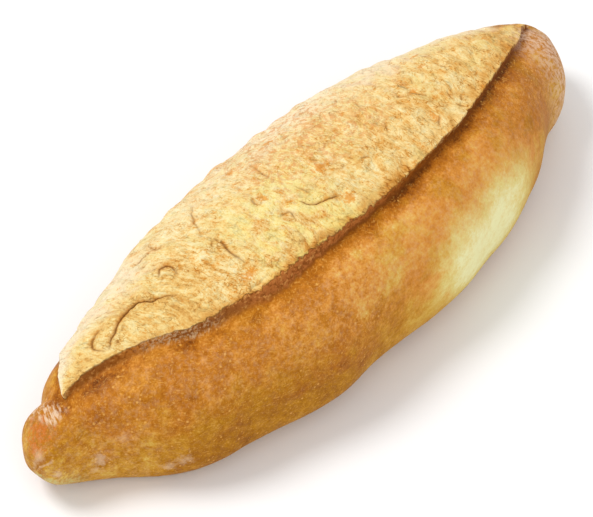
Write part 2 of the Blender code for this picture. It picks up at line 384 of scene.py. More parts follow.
def flake_relief(points, size, height, seed):
    """Overlapping flakes: each cell of a warped Voronoi pattern leans its own way, so some edges stand up."""
    (far, coarse), (near, fine) = FLAKE_WARPS
    blender_noise.seed_set(FLAKE_WARP_SEED)

    def flake(p):
        q = p / size + Vector((seed * 7.3, seed * 3.1, seed * 5.7))
        q += far * blender_noise.noise_vector(q * coarse) + near * blender_noise.noise_vector(q * fine)
        centre = blender_noise.voronoi(q)[1][0]
        own = blender_noise.cell_vector(centre * 91.7)
        lean = Vector((own.x - 0.75, -0.6 - 0.8 * own.y, 0.3 * own.z))
        return (q - centre).dot(lean) * (0.25 + own.z)

    flakes = [flake(Vector(p)) for p in points.reshape(-1, 3)]
    return height * np.array(flakes).reshape(points.shape[:-1])


def catmull_rom(points, steps):
    """A smooth route through the points, in the plane."""
    points = np.array(points)
    padded = np.vstack([2 * points[0] - points[1], points, 2 * points[-1] - points[-2]])
    route = []
    for a, b, c, d in zip(padded[:-3], padded[1:-2], padded[2:-1], padded[3:]):
        for t in np.linspace(0, 1, steps, endpoint=False):
            route.append(0.5 * (2 * b + (c - a) * t + (2 * a - 5 * b + 4 * c - d) * t**2
                                + (3 * b - a - 3 * c + d) * t**3))
    route.append(points[-1])
    return np.array(route)


def near_route(sheet, route):
    """Distance to the route, the side of it (1 on its left), and how far along it (0 to 1) it is nearest."""
    nearest = np.full(sheet.shape[:-1], np.inf)
    side = np.zeros(sheet.shape[:-1])
    along = np.zeros(sheet.shape[:-1])
    for k, (start, end) in enumerate(zip(route[:-1], route[1:])):
        run = end - start
        t = np.clip((sheet - start) @ run / (run @ run), 0, 1)
        offset = sheet - start - t[..., None] * run
        distance = np.linalg.norm(offset, axis=-1)
        closer = distance < nearest
        nearest = np.where(closer, distance, nearest)
        side = np.where(closer, np.sign(run[0] * offset[..., 1] - run[1] * offset[..., 0]), side)
        along = np.where(closer, (k + t) / (len(route) - 1), along)
    return nearest, side, along


def small_cracks():
    """Each small crack in the way of CRACKS: its depth, its lift and its points."""
    draw = np.random.default_rng(SMALL_CRACK_SEED)
    for _ in range(SMALL_CRACKS):
        station = draw.uniform(*SMALL_CRACK_STATIONS)
        share = draw.uniform(*SMALL_CRACK_SHARES)
        turn = math.radians(draw.normal(*SMALL_CRACK_TURN))
        length = draw.uniform(*SMALL_CRACK_LENGTHS) * MM
        bend = draw.uniform(-SMALL_CRACK_BEND, SMALL_CRACK_BEND)
        points = []
        for part in (-0.5, 0, 0.5):
            heading = turn + bend * part
            step = np.array([math.cos(heading), math.sin(heading)]) * part * length
            points.append((station + step[0] / (LENGTH / 2), share + step[1] / BLOOM_WIDTH))
        depth = draw.uniform(*SMALL_CRACK_DEPTHS)
        lift = draw.uniform(*SMALL_CRACK_LIFTS)
        yield depth, lift, points


def crack_relief(sheet, stations, spans):
    """The cracks on the sheet of (x, distance from the near rim): the relief, how strongly the nearest crack
    shows, the deeper the darker as partly painted shade, and the distance from it, above 0 on one side and
    below 0 on the other."""
    relief = np.zeros(sheet.shape[:-1])
    strength = np.zeros(sheet.shape[:-1])
    offset = np.full(sheet.shape[:-1], CRACK_SIGHT[1])
    for depth, lift, points in (*CRACKS, *small_cracks()):
        station, share = np.array(points).T
        flat = np.stack([station * LENGTH / 2, share * np.interp(station, stations, spans)], axis=-1)
        distance, side, along = near_route(sheet, catmull_rom(flat, CRACK_STEPS))
        ends = np.sin(np.pi * along) ** 0.5
        width_share = SHALLOW_CRACK_SHARE + (1 - SHALLOW_CRACK_SHARE) * min(depth, 1)
        width = CRACK_HALF_WIDTH * width_share * np.maximum(ends, CRACK_END_SHARE)
        relief -= depth * MM * np.exp(-((distance / width) ** 2)) * ends
        raised = side * np.sign(lift) > 0
        relief += abs(lift) * MM * raised * np.exp(-distance / CRACK_LIFT_REACH) * ends
        shown = min(1, depth / DEEPEST_CRACK) ** CRACK_CONTRAST * ends
        shown = shown * (1 - smooth_step(*CRACK_SIGHT, distance))
        nearer = distance < np.abs(offset)
        strength = np.where(nearer, shown, strength)
        offset = np.where(nearer, side * distance, offset)
    return relief, strength, offset


def crust_relief(points, inward, share, to_tip):
    """The crease along the rims and the slow waves of the crust."""
    crease_share = FAR_CREASE_SHARE + (1 - FAR_CREASE_SHARE) * (1 - smooth_step(0, 1, share))
    crease = CREASE_DEPTH * crease_share * smooth_step(-CLOSING_REACH, CLOSING_REACH, to_tip)
    size, length, seed = CRUST_WAVES
    return -crease * np.exp(-((inward / CREASE_REACH) ** 2)) + size * waves(points, length, seed)


def bloom_relief(points, stations, from_near, span, inward, lip):
    """The relief of the bloom, and how strongly cracks show on it and how far off they are."""
    bloom = LIP_HEIGHT * np.exp(-np.maximum(inward - lip, 0) / LIP_REACH)
    size, length, seed = CRAGS
    bloom = bloom + size * (np.abs(waves(points, length, seed)) - CRAG_MEAN)
    size, length, seed = LUMPS
    bloom = bloom + size * waves(points, length, seed)

    rows, cols = np.where(inward > -BLOOM_MARGIN)
    box = (slice(rows.min(), rows.max() + 1), slice(cols.min(), cols.max() + 1))
    flaky = np.zeros_like(bloom)
    patchy = smooth_step(*FLAKY_LEVELS, waves(points[box], *FLAKY_PATCHES))
    patches = FLAKES_ELSEWHERE + (1 - FLAKES_ELSEWHERE) * patchy
    for size, height, seed in FLAKES:
        flaky[box] += flake_relief(points[box], size, height, seed) * patches
    sheet = np.stack([points[..., 0], from_near], axis=-1)
    split, crack = np.zeros_like(bloom), np.zeros_like(bloom)
    from_crack = np.full_like(bloom, CRACK_SIGHT[1])
    split[box], crack[box], from_crack[box] = crack_relief(sheet[box], stations, span[:, 0])
    settle = smooth_step(0, SETTLE_REACH, inward)
    return bloom + flaky * (FLAKES_AT_RIM + (1 - FLAKES_AT_RIM) * settle) + split, crack, from_crack


def loaf_arrays():
    """The points of each ring, the two tips, and the values that the material reads, each one an array."""
    stations = ring_stations()
    angle, from_near, from_far, span, lip = np.array([section_columns(s) for s in stations]).swapaxes(0, 1)
    station = stations[:, None]
    points = envelope(station, angle)
    to_tip = (SLASH_REACH - np.abs(station - SLASH_CENTRE)) * LENGTH / 2
    inward = np.minimum(np.minimum(from_near, from_far), to_tip)
    share = np.clip(from_near / span, 0, 1)

    in_bloom = smooth_step(0, lip, inward)
    crust = crust_relief(points, inward, share, to_tip)
    bloom, crack, from_crack = bloom_relief(points, stations, from_near, span, inward, lip)
    fade = smooth_step(0, TIP_FADE, 1 - np.abs(station)) * smooth_step(*RELIEF_RISE, np.sin(angle))
    height = fade * (crust * (1 - in_bloom) + bloom * in_bloom)
    neck = NECK_DEPTH * np.exp(-(((station - NECK_STATION) / NECK_SPREAD) ** 2))
    height = height - neck * smooth_step(*NECK_RISE, np.sin(angle))
    points = points + outward(station, angle) * height[..., None]
    points[..., 2] = np.maximum(points[..., 2], 0)
    sheet = np.stack([points[..., 0], from_near, 0 * angle], axis=-1)
    tips = envelope(np.array([-1.0, 1.0]), np.array([0.0, 0.0]))

    values = {
        "inward_mm": inward / MM,
        "share": share,
        "crack": crack * in_bloom,
        "from_crack_mm": from_crack / MM,
        "lip_mm": lip / MM,
        "station": station + 0 * angle,
        "angle": np.degrees(angle),
    }
    return points, tips, values, sheet


def fitted(points, tips):
    """The points stretched slightly so that their box is the CAD box."""
    every = np.concatenate([points.reshape(-1, 3), tips])
    low, high = every.min(axis=0), every.max(axis=0)
    scale = (np.array(HIGH) - np.array(LOW)) / (high - low)
    return [(p - low) * scale + np.array(LOW) for p in (points, tips)]


def grid_faces(rings, columns):
    """Quads between the rings, and a fan of triangles to each tip. The two tips are the last points."""
    k = np.arange(columns)
    low = np.arange(rings - 1)[:, None] * columns
    after = (k + 1) % columns
    quads = np.stack([low + k, low + columns + k, low + columns + after, low + after], axis=-1).reshape(-1, 4)
    first_tip, last_tip = rings * columns, rings * columns + 1
    last = (rings - 1) * columns
    fans = [(b, a, first_tip) for a, b in zip(k, after)]
    fans += [(last + a, last + b, last_tip) for a, b in zip(k, after)]
    return [tuple(map(int, face)) for face in (*quads[:, ::-1], *fans)]


def placed(name, data):
    """A new object in the scene."""
    thing = bpy.data.objects.new(name, data)
    bpy.context.scene.collection.objects.link(thing)
    return thing


def with_tips(value):
    """The values of all points: those of the rings in a row, then the mean of an end ring for each tip."""
    ends = [value[end].mean(axis=0)[None] for end in (0, -1)]
    return np.concatenate([value.reshape(-1, *value.shape[2:]), *ends]).astype(np.float32).ravel()


def loaf_object():
    points, tips, values, sheet = loaf_arrays()
    rings, columns = points.shape[:2]
    points, tips = fitted(points, tips)
    mesh = bpy.data.meshes.new("baked_loaf")
    everything = np.concatenate([points.reshape(-1, 3), tips])
    mesh.from_pydata(everything.tolist(), [], grid_faces(rings, columns))
    mesh.shade_smooth()
    for name, value in values.items():
        mesh.attributes.new(name, "FLOAT", "POINT").data.foreach_set("value", with_tips(value))
    mesh.attributes.new("sheet", "FLOAT_VECTOR", "POINT").data.foreach_set("vector", with_tips(sheet))
    return placed("baked_loaf", mesh)


# ---------------------------------------------------------------- material


def colour(*channels):
    """A colour as a screen gives it (red, green, blue), as the linear colour that the shader wants."""
    linear = [c / 12.92 if c <= 0.04045 else ((c + 0.055) / 1.055) ** 2.4 for c in channels]
    return (*linear, 1.0)


class Nodes:
    """Short calls for building a material's nodes. A value is a node's output, a number or a colour."""

    def __init__(self, tree):
        self.tree = tree

    def set(self, socket, value):
        if isinstance(value, bpy.types.NodeSocket):
            self.tree.links.new(value, socket)
        else:
            socket.default_value = value

    def add(self, kind, inputs=(), **settings):
        node = self.tree.nodes.new(kind)
        for name, value in settings.items():
            setattr(node, name, value)
        for name, value in dict(inputs).items():
            self.set(node.inputs[name], value)
        return node

    def attribute(self, name, output="Fac"):
        return self.add("ShaderNodeAttribute", attribute_name=name).outputs[output]

    def math(self, operation, a, b=0.0, clamp=False):
        node = self.add("ShaderNodeMath", operation=operation, use_clamp=clamp)
        self.set(node.inputs[0], a)
        self.set(node.inputs[1], b)
        return node.outputs[0]

    def vector(self, operation, a, b):
        return self.add("ShaderNodeVectorMath", {0: a, 1: b}, operation=operation).outputs["Vector"]

    def between(self, value, low, high, to_low=0.0, to_high=1.0):
        """Goes smoothly from to_low to to_high as value goes from low to high."""
        inputs = {"Value": value, "From Min": low, "From Max": high, "To Min": to_low, "To Max": to_high}
        return self.add("ShaderNodeMapRange", inputs, interpolation_type="SMOOTHSTEP").outputs["Result"]

    def mix(self, share, a, b):
        """From a to b as share goes from 0 to 1."""
        node = self.add("ShaderNodeMix", data_type="RGBA")
        self.set(node.inputs["Factor"], share)
        self.set(node.inputs[6], a)
        self.set(node.inputs[7], b)
        return node.outputs[2]

    def noise(self, place, wavelength, detail=2.0, roughness=0.5):
        """Noise from 0 to 1, mostly from 0.3 to 0.7, with features about as large as the wavelength."""
        inputs = {"Vector": place, "Scale": 1 / wavelength, "Detail": detail, "Roughness": roughness}
        return self.add("ShaderNodeTexNoise", inputs).outputs["Fac"]

    def warped(self, place, wavelength, shift):
        """The place moved about by noise, so that a pattern laid on it bends."""
        swirl = self.add("ShaderNodeTexNoise", {"Vector": place, "Scale": 1 / wavelength, "Detail": 1.0})
        moved = self.vector("MULTIPLY", swirl.outputs["Color"], (shift,) * 3)
        return self.vector("ADD", place, moved)

    def turned(self, place, degrees, length, width):
        """The place in lengths along a direction and in widths across it, for stretched patterns."""
        turn = (0, 0, math.radians(-degrees))
        turned = self.add("ShaderNodeMapping", {"Vector": place, "Rotation": turn}).outputs["Vector"]
        return self.vector("MULTIPLY", turned, (1 / length, 1 / width, 1 / width))

    def streaks(self, place, degrees, length, width, detail=3.0):
        """Noise drawn out along a direction, from 0 to 1."""
        return self.noise(self.turned(place, degrees, length, width), 1.0, detail, 0.6)

    def dots(self, place, wavelength, radius, picked):
        """Small round spots, at most one per wavelength: 1 inside. picked is the share of them that show."""
        cells = self.add("ShaderNodeTexVoronoi", {"Vector": place, "Scale": 1 / wavelength})
        draw = self.add("ShaderNodeSeparateColor", {"Color": cells.outputs["Color"]}).outputs["Red"]
        spot = self.between(cells.outputs["Distance"], radius / wavelength, 0.4 * radius / wavelength)
        return self.math("MULTIPLY", self.math("LESS_THAN", draw, picked), spot)

    def ramp(self, value, stops):
        """The colour at a value. The stops are (value, colour), and colours blend between them."""
        node = self.add("ShaderNodeValToRGB", {"Fac": value})
        elements = node.color_ramp.elements
        elements[0].position, elements[0].color = stops[0]
        elements[1].position, elements[1].color = stops[-1]
        for at, shade in stops[1:-1]:
            elements.new(at).color = shade
        return node.outputs["Color"]

    def blob(self, *spans):
        """A soft round spot, 1 in its middle. Each span is a value, its middle and its reach."""
        total = 0.0
        for value, middle, reach in spans:
            part = self.math("DIVIDE", self.math("SUBTRACT", value, middle), reach)
            total = self.math("ADD", self.product(part, part), total)
        return self.math("SUBTRACT", 1.0, self.math("SQRT", total), clamp=True)

    def ragged(self, spot, noise, amount, low, high):
        """A soft spot with noise in its border: 1 where it then passes high, and 0 below low."""
        inside = self.between(self.shifted(spot, noise, amount), low, high)
        return self.product(inside, self.between(spot, 0.0, 0.15))

    def bell(self, distance, width, strength):
        """The strength on a line, falling away within about a width from it."""
        part = self.math("DIVIDE", distance, width)
        return self.product(self.math("EXPONENT", self.product(part, part, -1.0)), strength)

    def layers(self, height, count):
        """Torn layers along the contour lines of a height: their rise and their feet, both 0 to 1."""
        rise = self.math("FRACT", self.math("MULTIPLY", height, count))
        return rise, self.between(rise, 0.16, 0.03)

    def plus(self, value, part, amount):
        """The value with a part added to it, times the amount."""
        return self.math("ADD", value, self.math("MULTIPLY", part, amount))

    def zone(self, at, **spans):
        """1 inside a soft zone and 0 outside. Along each value it sets in from a span's first number to the
        second, and where there are four, ends from the third to the fourth."""
        parts = []
        for name, span in spans.items():
            value = getattr(at, name)
            parts.append(self.between(value, span[0], span[1]))
            if len(span) == 4:
                parts.append(self.between(value, span[3], span[2]))
        return self.product(*parts)

    def product(self, first, *others):
        for other in others:
            first = self.math("MULTIPLY", first, other)
        return first

    def shifted(self, value, noise, amount):
        """The value with noise about 0.5 added to it, times the amount."""
        return self.plus(value, self.math("SUBTRACT", noise, 0.5), amount)


# The crust, from pale to dark, where it baked orange and where it baked ochre: bake, colour
CRUST_ORANGE = (
    (0.00, colour(0.93, 0.91, 0.70)),
    (0.12, colour(0.90, 0.81, 0.52)),
    (0.25, colour(0.87, 0.67, 0.34)),
    (0.38, colour(0.83, 0.55, 0.23)),
    (0.52, colour(0.73, 0.45, 0.12)),
    (0.70, colour(0.64, 0.37, 0.07)),
    (0.86, colour(0.54, 0.29, 0.04)),
    (1.00, colour(0.40, 0.20, 0.03)),
)
CRUST_OCHRE = (
    (0.00, colour(0.92, 0.90, 0.68)),
    (0.12, colour(0.87, 0.79, 0.47)),
    (0.25, colour(0.82, 0.66, 0.29)),
    (0.38, colour(0.77, 0.55, 0.16)),
    (0.52, colour(0.68, 0.45, 0.03)),
    (0.70, colour(0.60, 0.37, 0.02)),
    (0.86, colour(0.50, 0.30, 0.03)),
    (1.00, colour(0.37, 0.20, 0.02)),
)
PALE_FLECK = colour(0.89, 0.67, 0.34)
SCRATCH_TURNS = (35, -40)  # degrees
UNDERSIDE = colour(0.72, 0.54, 0.28)
SPOT_RED = colour(0.76, 0.42, 0.16)
TORN_ORANGE = colour(0.84, 0.60, 0.32)
TORN_BROWN = colour(0.64, 0.40, 0.15)
FLOUR = colour(0.88, 0.77, 0.65)
LIP_FLOUR = colour(0.81, 0.69, 0.53)
FAR_RIM_PALE = colour(0.94, 0.82, 0.60)
PINK_FLOUR = colour(0.88, 0.74, 0.62)
OLIVE_CREAM = colour(0.76, 0.72, 0.48)

# Dabs of flour on the crust: station, angle in degrees, strength
FLOUR_SPOTS = (
    (-0.871, 183.0, 0.50),
    (-0.880, 193.0, 0.40),
    (-0.986, 148.0, 0.55),
    (-0.970, 184.0, 0.55),
    (-0.821, 165.0, 0.30),
    (-0.750, 194.0, 0.45),
    (-0.722, 188.0, 0.40),
)
FLOUR_REACH = (0.030, 11.0)  # stations, degrees

# The torn slope
SLOPE_BROWN = colour(0.57, 0.34, 0.14)
SLOPE_ORANGE = colour(0.73, 0.46, 0.18)
SLOPE_RED = colour(0.69, 0.41, 0.19)
# the slope's right half: browned, and partly painted shade where it faces away from the light
SLOPE_DARK_AND_SHADE = colour(0.60, 0.33, 0.08)
# brown specks on the slope, and painted shade in the crease at the slope's foot
FOOT_BROWN_AND_CREASE_SHADE = colour(0.48, 0.25, 0.05)

# The bloom, from pale to dark: bake, colour
BLOOM = (
    (0.00, colour(0.95, 0.92, 0.80)),
    (0.25, colour(0.94, 0.87, 0.66)),
    (0.45, colour(0.92, 0.80, 0.54)),
    (0.62, colour(0.88, 0.69, 0.39)),
    (0.78, colour(0.81, 0.57, 0.26)),
    (0.90, colour(0.72, 0.47, 0.18)),
    (1.00, colour(0.62, 0.37, 0.11)),
)
# the painted highlight on the bloom towards the far rim
FAR_RIM_HIGHLIGHT = colour(0.95, 0.88, 0.77)
YELLOW = colour(0.93, 0.86, 0.47)
# the dark core of the cracks: browned crust, and partly painted shade in the crack
CRACK_BROWN_AND_SHADE = colour(0.44, 0.23, 0.05)
CRACK_ORANGE = colour(0.80, 0.52, 0.21)
REDDISH = colour(0.86, 0.60, 0.36)
GREENISH = colour(0.90, 0.82, 0.52)
ORANGE = colour(0.87, 0.56, 0.20)

# The pale patch where the loaf lay against the next one: stations, and angles in degrees
KISS_STATION = 0.285
KISS_HALF_LENGTH = 0.06  # of its middle
KISS_FADE = 0.27  # from there to its border
KISS_STATIONS, KISS_ANGLES = (0.05, 0.52), (181.0, 177.0)  # its middle line, from one end to the other
KISS_ABOVE = 44.0
KISS_BELOW = 48.0

# Zones of the crust, in the way of Nodes.zone, and how much darker they are
CRUST_ZONES = (
    (dict(angle=(181.0, 204.0), from_kiss=(1.0, 0.6)), 0.10),  # painted shade where the pale patch turns under
    (dict(station=(-0.20, -0.40), angle=(152.0, 138.0)), 0.05),  # high on the left
    (dict(station=(-0.58, -0.82), angle=(142.0, 158.0)), -0.08),  # low at the left end
    (dict(station=(0.68, 0.84)), -0.04),  # the right end
    (dict(level=(0.047, 0.030), station=(-0.82, -0.66, -0.34, -0.12)), 0.11),  # low on the left: partly the crust's own colour, partly painted shade
)

# Thin torn layers in the bloom: turn in degrees, length, width and number, then the turn and size of the
# patches where they show, how dark the painted shadow at their feet is and how high they rise
TORN_LAYERS = (
    (100, 16 * MM, 11 * MM, 11.0, 20, 7 * MM, 0.30, 0.45),
    (125, 7 * MM, 4.5 * MM, 9.0, 40, 5 * MM, 0.24, 0.30),
)

# Orange spots in the bloom: station, share across from the near rim, half length and half width in mm
ORANGE_SPOTS = (
    (0.50, 0.60, 4.5, 3.0),
    (0.462, 0.47, 3.5, 3.0),
    (0.70, 0.35, 4.5, 2.5),
    (0.362, 0.35, 6.0, 2.0),
    (0.330, 0.13, 2.0, 5.0),
    (-0.385, 0.15, 7.0, 4.0),
    (-0.045, 0.12, 6.0, 4.5),
    (-0.01, 0.71, 5.0, 3.0),
    (-0.15, 0.72, 4.5, 3.0),
    (-0.19, 0.42, 3.0, 5.0),
    (-0.02, 0.34, 6.0, 4.0),
)
SPOT_BLOOM_WIDTH = 85  # mm, about: it turns their half widths into shares
STRETCH_TURN = 100  # the direction of the stretch marks on the sheet, in degrees

# The surface
CRUST_ROUGHNESS = 0.50
BLOOM_ROUGHNESS = 0.85
SHEEN = 0.06
BUMP_DEPTH = 1 * MM


def kiss_distance(n, at, broad):
    """The distance from the middle of the pale patch: a band along the near side that goes on below it. 1 is
    about at its border."""
    off_middle = n.math("ABSOLUTE", n.math("SUBTRACT", at.station, KISS_STATION))
    past_ends = n.math("MAXIMUM", n.math("SUBTRACT", off_middle, KISS_HALF_LENGTH), 0.0)
    along = n.math("DIVIDE", past_ends, KISS_FADE)
    middle = n.between(at.station, *KISS_STATIONS, *KISS_ANGLES)
    above = n.math("DIVIDE", n.math("SUBTRACT", middle, at.angle), KISS_ABOVE)
    below = n.math("DIVIDE", n.math("SUBTRACT", at.angle, middle), KISS_BELOW)
    around = n.math("MAXIMUM", above, below)
    distance = n.math("SQRT", n.math("ADD", n.product(along, along), n.product(around, around)))
    distance = n.shifted(distance, broad, 0.20)
    distance = n.shifted(distance, n.noise(at.place, 9 * MM, 1.0), 0.28)
    return n.shifted(distance, n.noise(at.place, 4 * MM, 3.0, 0.6), 0.30)


def crust_bake(n, at, broad, patchy, from_kiss):
    """How baked the crust is: 0 where it is pale, 0.5 where it is golden and 1 where it is darkest."""
    small = n.noise(at.place, 3.0 * MM, 4.0, 0.65)
    fine = n.noise(at.place, 1.0 * MM, 3.0, 0.6)
    mottling = n.shifted(n.shifted(n.shifted(0.0, patchy, 0.60), small, 0.60), fine, 0.42)
    mottling = n.product(mottling, n.between(from_kiss, 0.3, 1.6, 0.40, 1.0),
                         n.between(at.station, -0.25, 0.05, 1.0, 0.75))
    bake = n.math("ADD", n.shifted(0.50, broad, n.between(from_kiss, 0.5, 1.6, 0.10, 0.35)), mottling)

    # the pale patch, and a bright stretch left of it: paler crust, and partly a painted highlight
    halo = n.between(from_kiss, 1.35, 0.45, 0.0, 0.28)
    core = n.between(from_kiss, 0.80, 0.10, 0.0, 0.21)
    paler_and_highlight = n.product(n.between(n.shifted(at.station, broad, 0.4), -0.38, -0.12),
                       n.zone(at, station=(0.30, 0.06), angle=(172.0, 154.0), inward=(-4.0, -11.0)))
    bake = n.math("SUBTRACT", bake, n.math("MAXIMUM", n.math("ADD", halo, core), n.product(paler_and_highlight, 0.14)))
    zoned = SimpleNamespace(**vars(at), from_kiss=from_kiss, level=n.shifted(at.height, patchy, 0.02))
    for spans, darker in CRUST_ZONES:
        bake = n.plus(bake, n.zone(zoned, **spans), darker)

    # browner towards the slash, with a dark valley beside its right half, partly browning and partly painted
    # shade, and blotches beside its left
    edge = n.shifted(n.shifted(at.inward, patchy, 6.0), fine, 5.0)
    bake = n.math("ADD", bake, n.between(edge, -5.0, -0.3, 0.0, 0.12))
    valley_shade = n.product(n.between(edge, -10.0, -1.0), n.between(at.station, -0.30, 0.12, 0.0, 0.32),
                       n.between(at.station, 0.60, 0.85, 1.0, 0.45))
    blotches = n.product(n.zone(at, inward=(-9.0, -5.0, -3.0, -1.0), station=(-0.30, -0.45)),
                         n.between(patchy, 0.48, 0.60, 0.0, 0.16))
    return n.math("ADD", n.math("ADD", bake, valley_shade), blotches)


def crust_colour(n, at):
    """The crust, orange above and ochre below, the ochre partly painted shade, with flecks and scratches, and
    pale along the far rim.
    """
    broad = n.noise(at.place, 24 * MM, 2.0)
    patchy = n.noise(at.place, 10 * MM, 4.0, 0.6)
    from_kiss = kiss_distance(n, at, broad)
    bake = crust_bake(n, at, broad, patchy, from_kiss)

    # ochre and darker low down: partly the crust's own colour, partly painted shade
    level = n.shifted(n.shifted(at.height, broad, 0.05), patchy, 0.06)
    patches = n.product(n.between(n.noise(at.place, 14 * MM, 3.0, 0.6), 0.50, 0.64),
                        n.between(at.station, -0.35, -0.10, 0.25, 0.55))
    ochre = n.math("MAXIMUM", n.between(level, 0.052, 0.020), patches)
    shade = n.mix(ochre, n.ramp(bake, CRUST_ORANGE), n.ramp(bake, CRUST_OCHRE))

    away = n.between(from_kiss, 1.0, 1.6)
    dots = n.dots(at.place, 2.4 * MM, 0.65 * MM, 0.55)
    shade = n.mix(n.product(dots, away, n.between(patchy, 0.40, 0.60, 0.2, 0.7)), shade, PALE_FLECK)
    bent = n.warped(at.place, 9 * MM, 7 * MM)
    scratches = [n.between(n.streaks(bent, turn, 3.5 * MM, 0.6 * MM), 0.58, 0.68, 0.0, 0.45)
                 for turn in SCRATCH_TURNS]
    shade = n.mix(n.product(n.math("MAXIMUM", *scratches), away), shade, PALE_FLECK)

    ragged = n.shifted(n.shifted(at.inward, patchy, 22.0), broad, 14.0)
    far = n.zone(at, share=(0.5, 0.7), station=(-0.82, -0.72))
    shade = n.mix(n.product(far, n.between(ragged, -8.0, 1.0, 0.0, 0.55)), shade, FAR_RIM_PALE)
    return n.mix(n.between(at.height, 0.005, 0.001, 0.0, 0.8), shade, UNDERSIDE)


def slope_colour(n, at):
    """The torn slope between the crust and the bloom."""
    grain = n.noise(at.place, 1.7 * MM, 4.0, 0.7)
    drawn = n.streaks(at.place, 30, 5 * MM, 1.3 * MM)
    along = n.shifted(at.station, n.noise(at.place, 12 * MM, 2.0), 0.12)
    shade = n.mix(n.between(along, -0.76, -0.68), SLOPE_BROWN, SLOPE_ORANGE)
    shade = n.mix(n.between(along, -0.66, -0.60), shade, SLOPE_BROWN)
    shade = n.mix(n.between(along, -0.50, -0.38), shade, SLOPE_RED)
    # darker on the right: browned, and partly painted shade
    shade = n.mix(n.between(at.station, -0.05, 0.18), shade, SLOPE_DARK_AND_SHADE)
    shade = n.mix(n.between(grain, 0.54, 0.38, 0.0, 0.8), shade, FOOT_BROWN_AND_CREASE_SHADE)
    pale_strips = n.product(n.between(drawn, 0.54, 0.66), n.between(at.station, 0.05, -0.30, 0.15, 0.70))
    shade = n.mix(pale_strips, shade, TORN_ORANGE)
    beyond = n.zone(at, share=(0.35, 0.55), station=(-0.82, -0.74))
    return n.mix(beyond, shade, n.mix(grain, BLOOM[2][1], BLOOM[3][1]))


def bloom_colour(n, at, lines):
    """The flaky bloom: toasted cream, whiter towards the far rim at its ends as a painted highlight, redder
    in the middle, with its dark lines, partly painted shade.
    """
    bent = n.warped(at.sheet, 14 * MM, 9 * MM)
    broad = n.noise(at.place, 26 * MM, 2.0)
    middle = n.noise(n.turned(bent, STRETCH_TURN, 9 * MM, 6 * MM), 1.0, 4.0, 0.6)
    small = n.noise(n.turned(bent, STRETCH_TURN, 4.0 * MM, 2.4 * MM), 1.0, 4.0, 0.7)
    fine = n.noise(at.place, 0.9 * MM, 3.0, 0.6)

    bake = n.shifted(n.shifted(0.46, broad, 0.45), middle, 0.85)
    bake = n.shifted(bake, small, n.between(at.station, -0.10, 0.30, 1.15, 0.75))
    bake = n.shifted(bake, fine, n.between(at.station, -0.10, 0.30, 0.55, 0.30))
    bake = n.plus(bake, n.zone(at, station=(-0.34, -0.46), share=(0.62, 0.46)), 0.05)
    # a painted highlight: paler towards the far rim, most at the bloom's ends
    ends = n.math("MAXIMUM", n.between(at.station, -0.35, 0.15, 0.30, 1.0),
                  n.between(at.station, -0.42, -0.55, 0.0, 1.05))
    white = n.product(n.between(n.shifted(n.shifted(at.share, middle, 0.5), broad, 0.4), 0.48, 0.82), ends)
    bake = n.plus(bake, white, -0.16)
    bake = n.plus(bake, n.zone(at, station=(-0.45, -0.25, -0.20, -0.06), share=(0.05, 0.15)), -0.06)

    # stretch marks across the bloom
    strokes = n.between(n.streaks(bent, STRETCH_TURN, 5.0 * MM, 0.9 * MM), 0.54, 0.70)
    bake = n.math("ADD", bake, n.product(strokes, n.between(at.station, 0.0, 0.35, 0.22, 0.14)))
    curled = n.warped(at.sheet, 7 * MM, 5 * MM)
    thin = n.between(n.streaks(curled, STRETCH_TURN, 3.2 * MM, 0.6 * MM), 0.60, 0.70)
    bake = n.math("ADD", bake, n.product(thin, n.between(at.station, 0.0, 0.35, 0.26, 0.34)))

    # toasted beside the torn slope, in specks
    edge = n.shifted(n.shifted(at.inward, small, 9.0), fine, 6.0)
    toasted = n.product(n.between(edge, 7.5, 2.5, 0.0, 0.36), n.between(at.share, 0.55, 0.35),
                        n.between(at.station, -0.60, -0.42, 0.3, 1.0),
                        n.between(at.station, 0.20, -0.05, 0.45, 1.0))
    bake = n.math("ADD", n.math("ADD", bake, toasted), lines)

    shade = n.mix(n.product(white, 0.65), n.ramp(bake, BLOOM), FAR_RIM_HIGHLIGHT)
    yellow = n.product(n.zone(at, station=(-0.40, -0.28, -0.10, 0.02)),
                       n.between(n.shifted(at.share, broad, 0.6), 0.60, 0.35),
                       n.between(middle, 0.56, 0.44, 0.0, 0.4))
    shade = n.mix(yellow, shade, YELLOW)
    smudges = n.between(n.noise(bent, 11 * MM, 3.0, 0.6), 0.50, 0.66, 0.0, 0.35)
    on_left = n.product(n.zone(at, station=(-0.42, -0.56), share=(0.75, 0.55)), 0.20)
    shade = n.mix(n.math("MAXIMUM", smudges, on_left), shade, GREENISH)
    reddish = n.product(n.between(n.noise(bent, 2.6 * MM, 4.0, 0.75), 0.48, 0.60, 0.0, 0.72),
                        n.between(n.shifted(at.station, broad, 0.5), -0.35, -0.10),
                        n.zone(at, station=(0.45, 0.15), share=(0.20, 0.40)))
    shade = n.mix(reddish, shade, REDDISH)
    specks = n.shifted(small, fine, 0.9)
    shade = n.mix(n.between(specks, 0.61, 0.76, 0.0, 0.60), shade, ORANGE)
    for station, share, half_length, half_width in ORANGE_SPOTS:
        spot = n.blob((at.station, station, half_length * MM / (LENGTH / 2)),
                      (at.share, share, half_width / SPOT_BLOOM_WIDTH))
        spot = n.ragged(spot, specks, 1.8, 0.20, 0.80)
        shade = n.mix(n.product(spot, 0.70), shade, ORANGE)
    return shade


